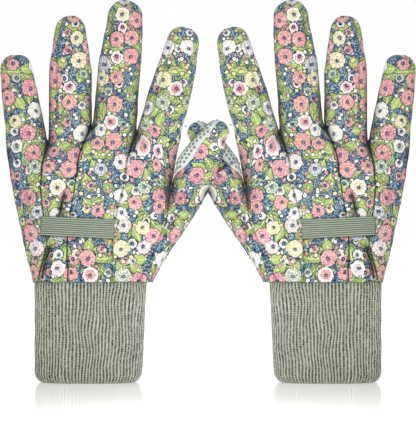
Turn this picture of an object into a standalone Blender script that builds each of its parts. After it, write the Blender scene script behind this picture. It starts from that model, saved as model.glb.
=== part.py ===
"""A pair of gardening gloves, stood up on their knit cuffs with the backs of the hands towards -Y.

Each glove is sewn from cloth panels that leave a hollow for the hand: five printed back panels, a
one-piece palm, four fingers and a thumb in a back half and a palm half each, a rib knit cuff, the seam
allowance inside the wrist and an elastic strap. Lengths are millimetres until put_in_scene() makes them
metres. The left glove is designed at -X, and the right one is its mirror image, apart from the thumbs:
they cross, so each leans out of the other's way.
"""

import math

import bpy

MM = 0.001

# Cloth
CANVAS = 1.2  # canvas with its lining
RIB = 2.2  # the folded rib knit of the cuff
ELASTIC = 1.0
SEAM_GAP = 1.1  # from each sewn edge to the seam line, which the wall leans towards
MOST_TRIM = 0.8  # the most that the gap may take off each end of a half section, in radians
JOINT_GAP = 0.6  # from each edge to the line that a finger bends about

# Cuff
CUFF_X = -81.7  # centre of the left cuff
CUFF_HALF_WIDTH = 37.2
CUFF_TOP_HALF_WIDTH = 38.6
CUFF_HALF_DEPTH = 16.0
CUFF_HEIGHT = 68.2
CUFF_HEM = 10.0  # the straight stretch above the lower edge, which keeps that edge flat
WRIST = 68.7  # lower edge of the hand's panels
WRIST_SEAM_X = CUFF_X + 1.0
WRIST_SEAM_Z = (63.0, 74.0)
WRIST_SEAM_INSET = 0.4  # from the inside of the cuff
WRIST_SEAM_CLEARANCE = 1.2  # from the inside of the back and the palm

# Hand
HAND_POWER = 2.4  # how square the hand's section is: 2 is an ellipse
HAND_DEPTHS = [(68.0, 14.6), (100.0, 14.0), (135.0, 12.0), (180.0, 8.5)]  # half depth at each height
HAND_RIGHT = [(68.0, -37.6), (100.0, -17.8), (128.0, -4.0), (150.0, -12.0), (180.0, -14.0)]
PLEAT_DEPTH = 2.5  # how far each back panel swells between its seams near the wrist
SEAM_RISE = 18.0  # below a finger crotch, the height in which the seam comes up to the hand's surface
SWELL_HEIGHT = 50.0  # below a finger crotch, the height in which a finger's swell fades out

# The strap's left and right ends, as (x, z) of their middles
STRAP_ENDS = ((-113.0, 106.6), (-63.0, 104.2))
STRAP_WIDTH = 12.7
STRAP_SWELL = 3.5  # how proud the pleats stand under the strap
STRAP_LIFT = 0.5

# Seams of the left glove from the wrist up to the crotches between the fingers, as (x, z). The first and
# the last are the hand's two sides.
SEAMS = [
    [(-119.7, WRIST), (-124.5, 87.0), (-130.2, 115.0), (-135.4, 141.6), (-137.6, 158.0)],
    [(-114.9, WRIST), (-108.1, 98.5), (-111.8, 122.0), (-112.2, 145.0), (-109.1, 164.8)],
    [(-93.7, WRIST), (-94.2, 98.5), (-90.5, 125.0), (-86.5, 155.0), (-79.6, 175.0)],
    [(-64.0, WRIST), (-62.9, 105.0), (-57.5, 130.0), (-53.5, 155.0), (-48.6, 171.5)],
    [(-46.5, WRIST), (-39.0, 82.0), (-30.5, 103.0), (-26.5, 121.0), (-25.0, 134.0)],
    [(-37.6, WRIST), (-28.7, 84.1), (-17.8, 100.5), (-7.5, 117.0), (1.2, 131.0)],
]

# Each finger: the middle of the line it bends about (x, z), its lean from upright in degrees, its length,
# how far up it bends a second time, its half widths at the knuckle, at the second bend and where the tip
# starts to round off, its half depth, and the length of the rounded tip.
FINGERS = {
    "pinky": dict(
        base=(-124.1, 164.8), lean=-7.3, length=59.5, bend=29.0,
        widths=(13.9, 12.5, 11.2), depth=7.0, tip=11.0,
    ),
    "ring": dict(
        base=(-94.1, 177.8), lean=0.0, length=72.3, bend=35.0,
        widths=(14.5, 14.4, 10.9), depth=7.8, tip=12.0,
    ),
    "middle": dict(
        base=(-63.6, 177.8), lean=4.5, length=83.0, bend=41.0,
        widths=(14.7, 14.4, 12.1), depth=8.2, tip=12.0,
    ),
    "index": dict(
        base=(-33.2, 170.3), lean=13.1, length=74.4, bend=36.0,
        widths=(14.5, 14.0, 11.2), depth=8.0, tip=12.0,
    ),
    "thumb": dict(
        base=(-9.0, 144.3), lean=30.3, length=38.2, bend=19.0,
        widths=(14.6, 11.0, 8.2), depth=6.3, tip=9.0,
    ),
}
NAMES = list(FINGERS)
THUMB_SEAM_TURN = math.radians(64)  # the thumb's seams are turned, so its palm side faces the index finger
THUMB_SHIFTS = [(-1.0, -5.6), (19.0, -6.8), (38.2, -7.5)]  # along the thumb, how far it leans out

# Number of faces
AROUND = 6  # round half a finger, and across each panel of the hand
HAND_ROWS = 7
STUB_ROWS = 2
CUFF_SIDES = 32
TIP_ANGLES = (30, 55, 72, 83)  # rows of the rounded tip, in degrees


def between(a, b, share):
    return a + (b - a) * share


def eased(share):
    """0 to 1 with a soft start and end."""
    share = min(max(share, 0.0), 1.0)
    return share * share * (3 - 2 * share)


def on_curve(points, at):
    """The value at a place along (place, value) points, joined by a smooth curve."""
    last = len(points) - 2
    i = next((n for n in range(last) if at < points[n + 1][0]), last)
    (p0, v0), (p1, v1) = points[i], points[i + 1]

    def slope(n):
        low, high = max(n - 1, 0), min(n + 1, len(points) - 1)
        return (points[high][1] - points[low][1]) / (points[high][0] - points[low][0])

    span = p1 - p0
    t = min(max((at - p0) / span, 0.0), 1.0)
    return (
        v0 * (1 + 2 * t) * (1 - t) ** 2
        + slope(i) * span * t * (1 - t) ** 2
        + v1 * t * t * (3 - 2 * t)
        + slope(i + 1) * span * t * t * (t - 1)
    )


def seam_x(seam, z):
    return on_curve([(point[1], point[0]) for point in seam], z)


def hand_depth(x, z):
    """Half the thickness of the hand at a point of its outline."""
    left, right = seam_x(SEAMS[0], z), on_curve(HAND_RIGHT, z)
    across = min(abs(2 * (x - left) / (right - left) - 1), 1.0)
    return on_curve(HAND_DEPTHS, z) * (1 - across**HAND_POWER) ** (1 / HAND_POWER)


def directions(finger):
    """(along, across) as (x, z): along points to the fingertip, and across to the thumb's side."""
    lean = math.radians(finger["lean"])
    return (math.sin(lean), math.cos(lean)), (math.cos(lean), -math.sin(lean))


def finger_size(finger, along):
    """(half width, half depth) of a finger at a distance past its knuckle line."""
    straight = finger["length"] - finger["tip"]
    knuckle, middle, end = finger["widths"]
    places = [(-1.0, knuckle), (finger["bend"], middle), (straight, end)]
    rounding = min(max((along - straight) / finger["tip"], 0.0), 1.0)
    scale = math.sqrt(1 - rounding * rounding)
    return on_curve(places, min(along, straight)) * scale, finger["depth"] * scale


def thumb_shift(name, along, lean_out):
    return lean_out * on_curve(THUMB_SHIFTS, along) if name == "thumb" else 0.0


def finger_point(name, along, angle, lean_out):
    """A point of the skin of a finger. The angle goes from 0 at the little finger's side over the back."""
    finger = FINGERS[name]
    (ax, az), (cx, cz) = directions(finger)
    half_width, half_depth = finger_size(finger, along)
    across = -half_width * math.cos(angle)
    x = finger["base"][0] + along * ax + across * cx
    z = finger["base"][1] + along * az + across * cz
    return x, thumb_shift(name, along, lean_out) - half_depth * math.sin(angle), z


def finger_rows(name, stations, from_back, lean_out):
    """Rows of points for half a finger, kept SEAM_GAP away from the two seams along its sides."""
    turn = THUMB_SEAM_TURN if name == "thumb" else 0.0
    first = turn if from_back else turn + math.pi
    rows = []
    for along in stations:
        half_width, half_depth = finger_size(FINGERS[name], along)
        speed = math.hypot(half_width * math.sin(first), half_depth * math.cos(first))
        trim = min(SEAM_GAP / speed, MOST_TRIM)
        angles = [between(first + trim, first + math.pi - trim, k / AROUND) for k in range(AROUND + 1)]
        rows.append([finger_point(name, along, angle, lean_out) for angle in angles])
    return rows


def hand_point(strip, row, k, side, inset, lean_out):
    """A point of the hand's skin: strip 0 is below the little finger and strip 4 below the thumb.

    Rows run from the wrist to the crotches and on to the line that the finger bends about. Side is -1 on
    the back and 1 on the palm.
    """
    name = NAMES[strip]
    finger = FINGERS[name]
    angle = math.pi * k / AROUND
    share = (1 - math.cos(angle)) / 2
    up = min(row / HAND_ROWS, 1.0)
    ends = [SEAMS[strip], SEAMS[strip + 1]]
    heights = [between(WRIST, seam[-1][1], up) for seam in ends]
    places = [seam_x(seam, z) for seam, z in zip(ends, heights)]
    x = between(places[0] + inset, places[1] - inset, share)
    z = between(*heights, share)
    rises = [eased((seam[-1][1] - z_end) / SEAM_RISE) for seam, z_end in zip(ends, heights)]
    rise = between(*rises, share)
    below = between(ends[0][-1][1], ends[1][-1][1], share) - z
    swell = between(finger["depth"], PLEAT_DEPTH, eased(below / SWELL_HEIGHT))
    y = side * max(math.hypot(swell * math.sin(angle), rise * hand_depth(x, z)), SEAM_GAP)
    if name == "thumb":
        y += thumb_shift(name, 0.0, lean_out) * eased(up) * eased(2 * share)
    if row > HAND_ROWS:
        stub = (row - HAND_ROWS) / STUB_ROWS
        top = finger_point(name, -JOINT_GAP, angle if side < 0 else -angle, lean_out)
        shift = thumb_shift(name, 0.0, lean_out)
        top_y = shift + side * max(abs(top[1] - shift), SEAM_GAP)
        x, y, z = (between(a, b, stub) for a, b in zip((x, y, z), (top[0], top_y, top[2])))
    return x, y, z


def loft_faces(rows):
    """Quads between rows of points that are equally long."""
    wide = len(rows[0])
    return [
        (r * wide + k, r * wide + k + 1, (r + 1) * wide + k + 1, (r + 1) * wide + k)
        for r in range(len(rows) - 1)
        for k in range(wide - 1)
    ]


def put_in_scene(name, points, faces, colour, roughness, wall, mirror):
    """An object from points in millimetres, thickened inwards to a wall."""
    if mirror:
        points = [(-x, y, z) for x, y, z in points]
        faces = [face[::-1] for face in faces]
    mesh = bpy.data.meshes.new(name)
    mesh.from_pydata([[v * MM for v in point] for point in points], [], faces)
    mesh.shade_smooth()
    obj = bpy.data.objects.new(name, mesh)
    COLLECTION.objects.link(obj)
    shell = obj.modifiers.new("wall", "SOLIDIFY")
    shell.thickness = wall * MM
    shell.offset = -1.0
    obj.data.materials.append(cloth(colour, roughness))
    return obj


def cloth(colour, roughness):
    """A Principled material, shared by every piece of one cloth."""
    name = "cloth_" + "_".join(str(round(c * 100)) for c in colour)
    material = bpy.data.materials.get(name)
    if material is None:
        material = bpy.data.materials.new(name)
        material.use_nodes = True
        shader = material.node_tree.nodes["Principled BSDF"]
        shader.inputs["Base Color"].default_value = (*colour, 1.0)
        shader.inputs["Roughness"].default_value = roughness
        shader.inputs["Metallic"].default_value = 0.0
    return material


PRINT = ((0.32, 0.36, 0.33), 0.85)
DOTTED = ((0.78, 0.83, 0.80), 0.8)
SAGE_KNIT = ((0.30, 0.33, 0.25), 0.95)
SAGE_ELASTIC = ((0.27, 0.31, 0.22), 0.8)
TAPE = ((0.36, 0.40, 0.30), 0.9)


def flat(rows):
    return [point for row in rows for point in row]


def add_finger(glove, name, lean_out, mirror):
    """The base and the tip of a finger, each in a printed back half and a dotted palm half."""
    finger = FINGERS[name]
    straight = finger["length"] - finger["tip"]
    bend = finger["bend"]
    base = [JOINT_GAP, bend / 2, bend - JOINT_GAP]
    dome = [straight + finger["tip"] * math.sin(math.radians(a)) for a in TIP_ANGLES]
    tip = [bend + JOINT_GAP, between(bend, straight, 0.5), straight, *dome]
    for part, stations in (("base", base), ("tip", tip)):
        for half, cloth_kind in (("back", PRINT), ("palm", DOTTED)):
            rows = finger_rows(name, stations, half == "back", lean_out)
            node = f"{glove}_{name}_{part}_{half}"
            put_in_scene(node, flat(rows), loft_faces(rows), *cloth_kind, CANVAS, mirror)


def add_back_panel(glove, strip, lean_out, mirror):
    rows = [
        [hand_point(strip, row, k, -1, SEAM_GAP, lean_out) for k in range(AROUND + 1)]
        for row in range(HAND_ROWS + STUB_ROWS + 1)
    ]
    put_in_scene(f"{glove}_{NAMES[strip]}_back_panel", flat(rows), loft_faces(rows), *PRINT, CANVAS, mirror)


def add_palm(glove, lean_out, mirror):
    """One piece, with a stub for each finger above the crotches: neighbours share points up to there."""
    points, faces, index = [], [], {}

    def number(strip, row, k):
        if k == AROUND and strip < len(NAMES) - 1 and row <= HAND_ROWS:
            strip, k = strip + 1, 0
        if (strip, row, k) not in index:
            index[strip, row, k] = len(points)
            points.append(hand_point(strip, row, k, 1, 0.0, lean_out))
        return index[strip, row, k]

    for strip in range(len(NAMES)):
        for row in range(HAND_ROWS + STUB_ROWS):
            for k in range(AROUND):
                corners = ((row, k), (row + 1, k), (row + 1, k + 1), (row, k + 1))
                faces.append([number(strip, *corner) for corner in corners])
    put_in_scene(f"{glove}_palm", points, faces, *DOTTED, CANVAS, mirror)


def ring(centre_x, half_width, half_depth, z, power):
    """A closed row of points round a squared ellipse, seen anticlockwise from above."""
    row = []
    for i in range(CUFF_SIDES):
        angle = 2 * math.pi * i / CUFF_SIDES
        c, s = math.cos(angle), math.sin(angle)
        reach = (abs(c) ** power + abs(s) ** power) ** (-1 / power)
        row.append((centre_x + half_width * reach * c, half_depth * reach * s, z))
    return row


def add_tube(name, rings, cloth_kind, wall, mirror):
    """An open tube through closed rows of points."""
    rows = [row + row[:1] for row in rings]
    wide = CUFF_SIDES + 1
    faces = [
        [n // wide * CUFF_SIDES + n % wide % CUFF_SIDES for n in face]
        for face in loft_faces(rows)
    ]
    put_in_scene(name, flat(rings), faces, *cloth_kind, wall, mirror)


def add_cuff(glove, mirror):
    rings = []
    for z, widening in ((0.0, 0.0), (CUFF_HEM, 0.0), (CUFF_HEIGHT, CUFF_TOP_HALF_WIDTH - CUFF_HALF_WIDTH)):
        rings.append(ring(CUFF_X + widening, CUFF_HALF_WIDTH + widening, CUFF_HALF_DEPTH, z, HAND_POWER))
    add_tube(f"{glove}_knit_cuff", rings, SAGE_KNIT, RIB, mirror)


def add_wrist_seam(glove, mirror):
    """The seam allowance inside the wrist, where the cuff is sewn to the hand."""
    half_width = CUFF_HALF_WIDTH - RIB - WRIST_SEAM_INSET
    half_depth = HAND_DEPTHS[0][1] - CANVAS - WRIST_SEAM_CLEARANCE
    rings = [ring(WRIST_SEAM_X, half_width, half_depth, z, HAND_POWER) for z in WRIST_SEAM_Z]
    add_tube(f"{glove}_wrist_seam", rings, TAPE, CANVAS, mirror)


def add_strap(glove, mirror):
    """The elastic strap, laid over the back panels and sewn down at its two ends."""
    (x0, z0), (x1, z1) = STRAP_ENDS
    columns = 2 * AROUND
    rows = []
    for edge in (-0.5, 0.0, 0.5):
        row = []
        for k in range(columns + 1):
            x = between(x0, x1, k / columns)
            z = between(z0, z1, k / columns) + edge * STRAP_WIDTH
            skin = math.hypot(hand_depth(x, z), STRAP_SWELL)
            row.append((x, -(skin + STRAP_LIFT + ELASTIC), z))
        rows.append(row)
    put_in_scene(f"{glove}_elastic_strap", flat(rows), loft_faces(rows), *SAGE_ELASTIC, ELASTIC, mirror)


def add_glove(glove, mirror):
    lean_out = -1.0 if mirror else 1.0
    add_cuff(glove, mirror)
    add_wrist_seam(glove, mirror)
    for strip in range(len(NAMES)):
        add_back_panel(glove, strip, lean_out, mirror)
    add_palm(glove, lean_out, mirror)
    add_strap(glove, mirror)
    for name in NAMES:
        add_finger(glove, name, lean_out, mirror)


for old in list(bpy.data.objects):
    bpy.data.objects.remove(old)
COLLECTION = bpy.data.collections.new("gardening_gloves")
bpy.context.scene.collection.children.link(COLLECTION)
add_glove("left", False)
add_glove("right", True)
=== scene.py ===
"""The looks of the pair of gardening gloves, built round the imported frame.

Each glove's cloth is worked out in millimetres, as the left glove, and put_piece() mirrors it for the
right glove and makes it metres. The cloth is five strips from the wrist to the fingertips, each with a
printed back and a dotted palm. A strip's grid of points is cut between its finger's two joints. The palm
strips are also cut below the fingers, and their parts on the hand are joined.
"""

import math

import bmesh
import bpy
import numpy as np
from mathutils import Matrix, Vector, kdtree, noise


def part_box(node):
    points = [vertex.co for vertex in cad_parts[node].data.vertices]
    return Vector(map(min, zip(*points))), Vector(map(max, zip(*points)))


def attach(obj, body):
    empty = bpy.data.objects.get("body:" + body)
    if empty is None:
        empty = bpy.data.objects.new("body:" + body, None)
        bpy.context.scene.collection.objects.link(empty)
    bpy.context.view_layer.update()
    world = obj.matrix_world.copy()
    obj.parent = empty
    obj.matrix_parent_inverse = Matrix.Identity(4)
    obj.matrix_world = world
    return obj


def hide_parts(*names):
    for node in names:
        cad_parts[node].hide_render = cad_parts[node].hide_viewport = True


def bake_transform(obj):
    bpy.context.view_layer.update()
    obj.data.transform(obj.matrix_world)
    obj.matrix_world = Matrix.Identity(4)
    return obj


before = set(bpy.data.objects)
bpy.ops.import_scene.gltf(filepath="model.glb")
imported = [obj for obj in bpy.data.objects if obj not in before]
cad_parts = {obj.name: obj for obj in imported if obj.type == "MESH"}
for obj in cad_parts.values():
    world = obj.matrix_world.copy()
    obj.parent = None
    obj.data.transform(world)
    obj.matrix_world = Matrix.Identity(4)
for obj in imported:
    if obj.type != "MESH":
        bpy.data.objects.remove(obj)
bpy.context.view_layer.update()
MM = 0.001

# ---------------------------------------------------------------------------------------------------------
# Sizes in millimetres, for the left glove: x from the middle of the pair, y out of the palm, z up
# ---------------------------------------------------------------------------------------------------------

WRIST = 68.7
HAND_DEPTHS = [(68.0, 14.6), (100.0, 14.0), (135.0, 12.0), (180.0, 8.5)]
HAND_RIGHT = [(68.0, -37.6), (100.0, -17.8), (128.0, -4.0), (150.0, -12.0), (180.0, -14.0)]
HAND_POWER = 2.4  # of the squared ellipses that the hand and the cuff are across
SEAM_RISE = 18.0  # below the crotches, over which a seam rises from between the fingers to the hand's face
SWELL_HEIGHT = 50.0  # below the crotches, over which a finger's roundness turns into a flat panel
HAND_SWELL = 2.5

# The seams up the back from the wrist to the crotches between the fingers, as (x, z). The first and the
# last are the hand's two sides.
SEAMS = [
    [(-119.7, WRIST), (-124.5, 87.0), (-130.2, 115.0), (-135.4, 141.6), (-137.6, 158.0)],
    [(-114.9, WRIST), (-108.1, 98.5), (-111.8, 122.0), (-112.2, 145.0), (-109.1, 164.8)],
    [(-93.7, WRIST), (-94.2, 98.5), (-90.5, 125.0), (-86.5, 155.0), (-79.6, 175.0)],
    [(-64.0, WRIST), (-62.9, 105.0), (-57.5, 130.0), (-53.5, 155.0), (-48.6, 171.5)],
    [(-46.5, WRIST), (-39.0, 82.0), (-30.5, 103.0), (-26.5, 121.0), (-25.0, 134.0)],
    [(-37.6, WRIST), (-28.7, 84.1), (-17.8, 100.5), (-7.5, 117.0), (1.2, 131.0)],
]

# How dark the painted shade in the pleat at each seam between two strips is: near the wrist, near the
# crotch, and the height where the one turns into the other
PLEAT_SHADE = {1: (1.0, 1.0, 120.0), 2: (1.0, 1.0, 120.0), 3: (0.42, 1.0, 150.0), 4: (0.4, 0.8, 120.0)}

# Looks of each finger: how long its rounded tip is, where the bend at the knuckle starts and ends, half the
# length of its second bend, and its bow, which is how far its cloth drifts sideways between two distances
# along it
FINGER_LOOKS = {
    "pinky": dict(tip=11.0, fold=(-1.9, 11.0), tip_fold=9.0, bow=(-0.8, 5.0, 45.0)),
    "ring": dict(tip=12.0, fold=(-2.8, 13.0), tip_fold=9.0, bow=(0.0, 0.0, 1.0)),
    "middle": dict(tip=12.0, fold=(-4.0, 13.0), tip_fold=9.0, bow=(1.4, 25.0, 75.0)),
    "index": dict(tip=12.0, fold=(-2.3, 13.0), tip_fold=9.0, bow=(1.6, 2.0, 50.0)),
    "thumb": dict(tip=9.0, fold=(-6.0, 6.0), tip_fold=6.0, bow=(0.0, 0.0, 1.0)),
}
NAMES = list(FINGER_LOOKS)
THUMB_TURN = math.radians(64)  # the thumb's seams are turned, so its dotted side faces the index finger
TIP_POWER, TIP_FLATNESS = 2.15, 0.9
ROOT_WIDENING, ROOT_LENGTH = 0.4, 22.0  # the fingers' cloth nearly meets above the crotches
THUMB_SPARE = 0.8  # room between the two crossed thumbs, beyond what the CAD leaves

STRAP_ENDS = ((-113.2, 106.8), (-63.0, 104.4))
STRAP_WIDTH, STRAP_RIBS, STRAP_THICKNESS = 12.9, 9, 1.3
STRAP_LIFT = 2.3  # off the cloth's panels, which bulge less between the seams

# The grids
COLUMNS = 44  # across each strip
HAND_ROWS = 84
STUB_ROWS = 14  # from the crotches to the fingers' knuckle lines
ROW_STEP = 1.25
TIP_ANGLES = [6, 12, 19, 26, 33, 40, 47, 54, 61, 68, 75, 81, 86]
SMOOTH_BELOW, SMOOTH_ABOVE, SMOOTH_TIMES = 14, 10, 10  # rows that are evened out round the crotches
WALL = 0.9

# The cloth between the seams. Each panel stands up sharply at the edge towards the little finger, which
# folds over its neighbour, and rolls down softly towards the thumb.
RELIEF = 3.0
SHARP_POWER, SOFT_POWER = 9.0, 3.4
OVERLAP = 0.8
OUTLINE_WANDER = 0.45
BACK_CRUMPLE, PALM_CRUMPLE = 1.25, 0.8
SIDE_SEAM = math.radians(52)  # where a finger's side strip is sewn to its back, round from its side

# Folds in the back, each as its line from (x, z) to (x, z), its depth, its half width and how dark the
# painted shade in it is
FOLDS = [
    ((-97.0, 133.0), (-101.5, 112.0), 2.8, 1.9, 0.95),
    ((-86.3, 86.0), (-86.5, 68.0), 1.6, 0.9, 0.8),
    ((-72.0, 97.0), (-73.0, 70.0), 0.5, 0.7, 0.5),
    ((-30.5, 154.0), (-27.5, 120.0), 1.6, 1.4, 0.6),
    ((-33.0, 128.0), (-29.0, 98.0), 1.3, 1.3, 0.4),
    ((-24.0, 120.0), (-27.0, 90.0), 1.2, 1.5, 0.45),
    ((-38.0, 96.0), (-41.0, 72.0), 0.9, 1.3, 0.3),
    ((-106.0, 99.0), (-113.0, 71.0), 2.8, 2.2, 1.0),
    ((-20.0, 135.0), (-13.0, 118.0), 1.0, 1.6, 0.35),
    ((-127.0, 150.0), (-124.0, 118.0), 0.9, 2.2, 0.2),
    ((-70.0, 160.0), (-73.0, 128.0), 0.7, 2.6, 0.12),
    ((-52.0, 118.0), (-56.0, 84.0), 0.8, 2.2, 0.15),
]


def node_points(*nodes):
    """The corners of CAD nodes, each once."""
    corners = np.vstack([[v.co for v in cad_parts[node].data.vertices] for node in nodes])
    return np.unique(np.round(corners / MM, 3), axis=0)


def read_finger(name):
    """A left finger's place and sizes, from its four CAD nodes."""
    base = node_points(f"left_{name}_base_back", f"left_{name}_base_palm")
    tip = node_points(f"left_{name}_tip_back", f"left_{name}_tip_palm")
    line = (tip.mean(0) - base.mean(0))[[0, 2]]
    lean = math.atan2(line[0], line[1])
    along = np.array([math.sin(lean), 0.0, math.cos(lean)])
    across = np.array([math.cos(lean), 0.0, -math.sin(lean)])
    base_at, tip_at = base @ along, tip @ along
    gap = (tip_at.min() - base_at.max()) / 2
    knuckle = base_at.min() - gap
    middle = float(base.mean(0) @ across)
    length = tip_at.max() - knuckle
    straight = length - FINGER_LOOKS[name]["tip"]

    def half_width(points, at, place):
        near = points[np.abs(at - place) < 1.5]
        return float(np.ptp(near @ across)) / 2

    origin = along * knuckle + across * middle
    return dict(
        FINGER_LOOKS[name],
        base=(float(origin[0]), float(origin[2])),
        lean=lean,
        length=float(length),
        bend=float(base_at.max() + gap - knuckle),
        widths=(
            half_width(base, base_at, base_at.min()),
            half_width(base, base_at, base_at.max()),
            half_width(tip, tip_at, knuckle + straight),
        ),
        depth=float(np.ptp(base[:, 1])) / 2,
        shifts=[(0.0, float(base[:, 1].mean())), (float(length), float(tip[:, 1].mean()))],
    )


FINGERS = {name: read_finger(name) for name in NAMES}


def between(a, b, share):
    return a + (b - a) * share


def eased(share):
    """0 to 1 with a soft start and end."""
    share = np.clip(share, 0.0, 1.0)
    return share * share * (3 - 2 * share)


def on_curve(points, at):
    """The values at places along (place, value) points, joined by a smooth curve."""
    places = np.array([p for p, _ in points])
    values = np.array([v for _, v in points])
    at = np.asarray(at, float)
    i = np.clip(np.searchsorted(places, at, side="right") - 1, 0, len(points) - 2)
    low = np.maximum(np.arange(len(points)) - 1, 0)
    high = np.minimum(np.arange(len(points)) + 1, len(points) - 1)
    slopes = (values[high] - values[low]) / (places[high] - places[low])
    span = places[i + 1] - places[i]
    t = np.clip((at - places[i]) / span, 0.0, 1.0)
    return (
        values[i] * (1 + 2 * t) * (1 - t) ** 2
        + slopes[i] * span * t * (1 - t) ** 2
        + values[i + 1] * t * t * (3 - 2 * t)
        + slopes[i + 1] * span * t * t * (t - 1)
    )


def seam_x(seam, z):
    return on_curve([(point[1], point[0]) for point in seam], z)


def hand_depth(x, z):
    """Half the thickness of the hand at points of its outline."""
    left, right = seam_x(SEAMS[0], z), on_curve(HAND_RIGHT, z)
    across = np.minimum(np.abs(2 * (x - left) / (right - left) - 1), 1.0)
    return on_curve(HAND_DEPTHS, z) * (1 - across**HAND_POWER) ** (1 / HAND_POWER)


def directions(finger):
    """(along, across) as (x, z): along points to the fingertip, and across to the thumb's side."""
    lean = finger["lean"]
    return (math.sin(lean), math.cos(lean)), (math.cos(lean), -math.sin(lean))


def finger_size(finger, along):
    """(half width, half depth) of a finger at a distance past its knuckle line."""
    straight = finger["length"] - finger["tip"]
    knuckle, middle, end = finger["widths"]
    places = [(-1.0, knuckle), (finger["bend"], middle), (straight, end)]
    rounding = min(max((along - straight) / finger["tip"], 0.0), 1.0)
    scale = (1 - rounding**TIP_POWER) ** (1 / TIP_POWER)
    return float(on_curve(places, min(along, straight))) * scale, finger["depth"] * scale**TIP_FLATNESS


def thumb_shift(name, along):
    """How far the thumb stands out towards the viewer of the backs. The right glove's goes the other way."""
    (a0, y0), (a1, y1) = FINGERS[name]["shifts"]
    return between(y0, y1, min(max((along - a0) / (a1 - a0), 0.0), 1.0)) - THUMB_SPARE * (name == "thumb")


def side_seam_reach(finger, along):
    """How far the seam of a finger's side strip shows: 1, or less near the knuckle and the tip."""
    return eased(along / 8.0) * (1 - eased((along - finger["length"] + finger["tip"]) / 5.0))


ANGLES = np.pi * np.arange(COLUMNS + 1) / COLUMNS
ACROSS = (1 - np.cos(ANGLES)) / 2


def hand_shift(up):
    """How far each column of the thumb's strip stands out on the hand. Up is 0 at the wrist."""
    return thumb_shift("thumb", 0.0) * eased(up) * eased(2 * ACROSS)


def back_profile(height):
    """How a panel swells across: round by the finger and squarer towards the wrist (height 1 to 0)."""
    place = -np.cos(ANGLES)
    left = between(SHARP_POWER, 2.0, height)
    right = between(SOFT_POWER, 2.0, height)
    power = np.where(place < 0, left, right)
    return (1 - np.minimum(np.abs(place), 1.0) ** power) ** (1 / power)


def strap_shadow(x, z):
    """How dark the cloth is close under the strap."""
    (x0, z0), (x1, z1) = STRAP_ENDS
    below = between(z0, z1, (x - x0) / (x1 - x0)) - STRAP_WIDTH / 2 - z
    beside = eased((x - x0 + 1.5) / 2.0) * eased((x1 + 1.0 - x) / 2.0)
    return 0.7 * beside * np.exp(-(((below - 0.3) / 1.2) ** 2))


def folds_and_painted_shade(x, z):
    """(depth, painted shade) of the folds pressed into the back at points of it, with the painted shadow
    under the strap.
    """
    pressed, dark = np.zeros_like(x), strap_shadow(x, z)
    for (x0, z0), (x1, z1), depth, half_width, darkness in FOLDS:
        dx, dz = x1 - x0, z1 - z0
        t = np.clip(((x - x0) * dx + (z - z0) * dz) / (dx * dx + dz * dz), 0, 1)
        across, up = x - x0 - t * dx, z - z0 - t * dz
        distance = np.hypot(across, up)
        spread = half_width * np.where(across < 0, 0.35, 1.4)  # sharp on one side, as where cloth laps over
        mark = eased(np.minimum(t, 1.2 - t) * 3 + 0.15) * np.exp(-((distance / spread) ** 2))
        pressed += depth * mark
        dark = np.maximum(dark, darkness * mark**1.5)
    return pressed, dark


def pleat_painted_shade(seam, z):
    """How dark the painted shade in the pleat at a seam is at a height. The hand's two sides have none."""
    low, high, turn = PLEAT_SHADE.get(seam, (0.0, 0.0, 120.0))
    return between(low, high, eased((z - turn + 6.0) / 12.0))


def hand_row(strip, up, back):
    """(points, painted shade) across a strip of the hand. Up goes from 0 at the wrist to 1 at the crotches.
    """
    name = NAMES[strip]
    finger = FINGERS[name]
    ends = [SEAMS[strip], SEAMS[strip + 1]]
    heights = [between(WRIST, seam[-1][1], up) for seam in ends]
    places = [float(seam_x(seam, z)) for seam, z in zip(ends, heights)]
    x = between(places[0], places[1], ACROSS)
    z = between(heights[0], heights[1], ACROSS)
    rises = [eased((seam[-1][1] - z_end) / SEAM_RISE) for seam, z_end in zip(ends, heights)]
    rise = between(rises[0], rises[1], ACROSS)
    below = between(ends[0][-1][1], ends[1][-1][1], ACROSS) - z
    fade = eased(below / SWELL_HEIGHT)
    depth = hand_depth(x, z)
    if name == "thumb":
        depth = depth * np.sqrt(1 - ACROSS**6)  # closes the hand's edge, where the palm is sewn on
    dark = np.zeros_like(x)
    if back:
        swell = between(finger["depth"], HAND_SWELL, fade) * back_profile(1 - float(fade.mean()))
        edge = np.minimum(depth / 9.0, 1.0)
        relief = RELIEF * fade * back_profile(0.0) * edge
        pressed, dark = folds_and_painted_shade(x, z)
        y = -(np.hypot(swell, rise * depth) + relief) + pressed * np.minimum(depth / 6.0, 1.0)
        width = places[1] - places[0]
        left, right = ACROSS * width, (1 - ACROSS) * width
        # Painted shade in the pleats along both seams, and at the strip's edges near the crotches, between
        # the fingers.
        over = pleat_painted_shade(strip, z) * np.exp(-((left / 0.5) ** 2))
        under = pleat_painted_shade(strip + 1, z) * np.exp(-((right / 1.3) ** 4))
        dark = np.maximum(dark, np.maximum(over, under))
        near_crotch = eased((up - 0.72) / 0.28)
        side = np.exp(-((np.minimum(left, right) / between(0.6, 3.4, near_crotch)) ** 2))
        dark = np.maximum(dark, side * near_crotch)
        lip = np.exp(-((ACROSS / 0.02 - 1) ** 2))
        x = x - OVERLAP * lip * fade * (strip > 0)
    else:
        swell = between(finger["depth"], HAND_SWELL, fade) * np.sin(ANGLES)
        y = np.hypot(swell, rise * depth)
    if name == "thumb":
        y = y + hand_shift(up)
    return np.stack([x, y, z], axis=1), dark


def crotch_row(strip, angles):
    """The ring of points that the hand has just where a finger starts, at angles round it."""
    name = NAMES[strip]
    (x0, z0), (x1, z1) = SEAMS[strip][-1], SEAMS[strip + 1][-1]
    share = (1 - np.cos(angles)) / 2
    y = -FINGERS[name]["depth"] * np.sin(angles)
    if name == "thumb":
        y = y + thumb_shift(name, 0.0) * eased(2 * share)
    return np.stack([between(x0, x1, share), y, between(z0, z1, share)], axis=1)


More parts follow.
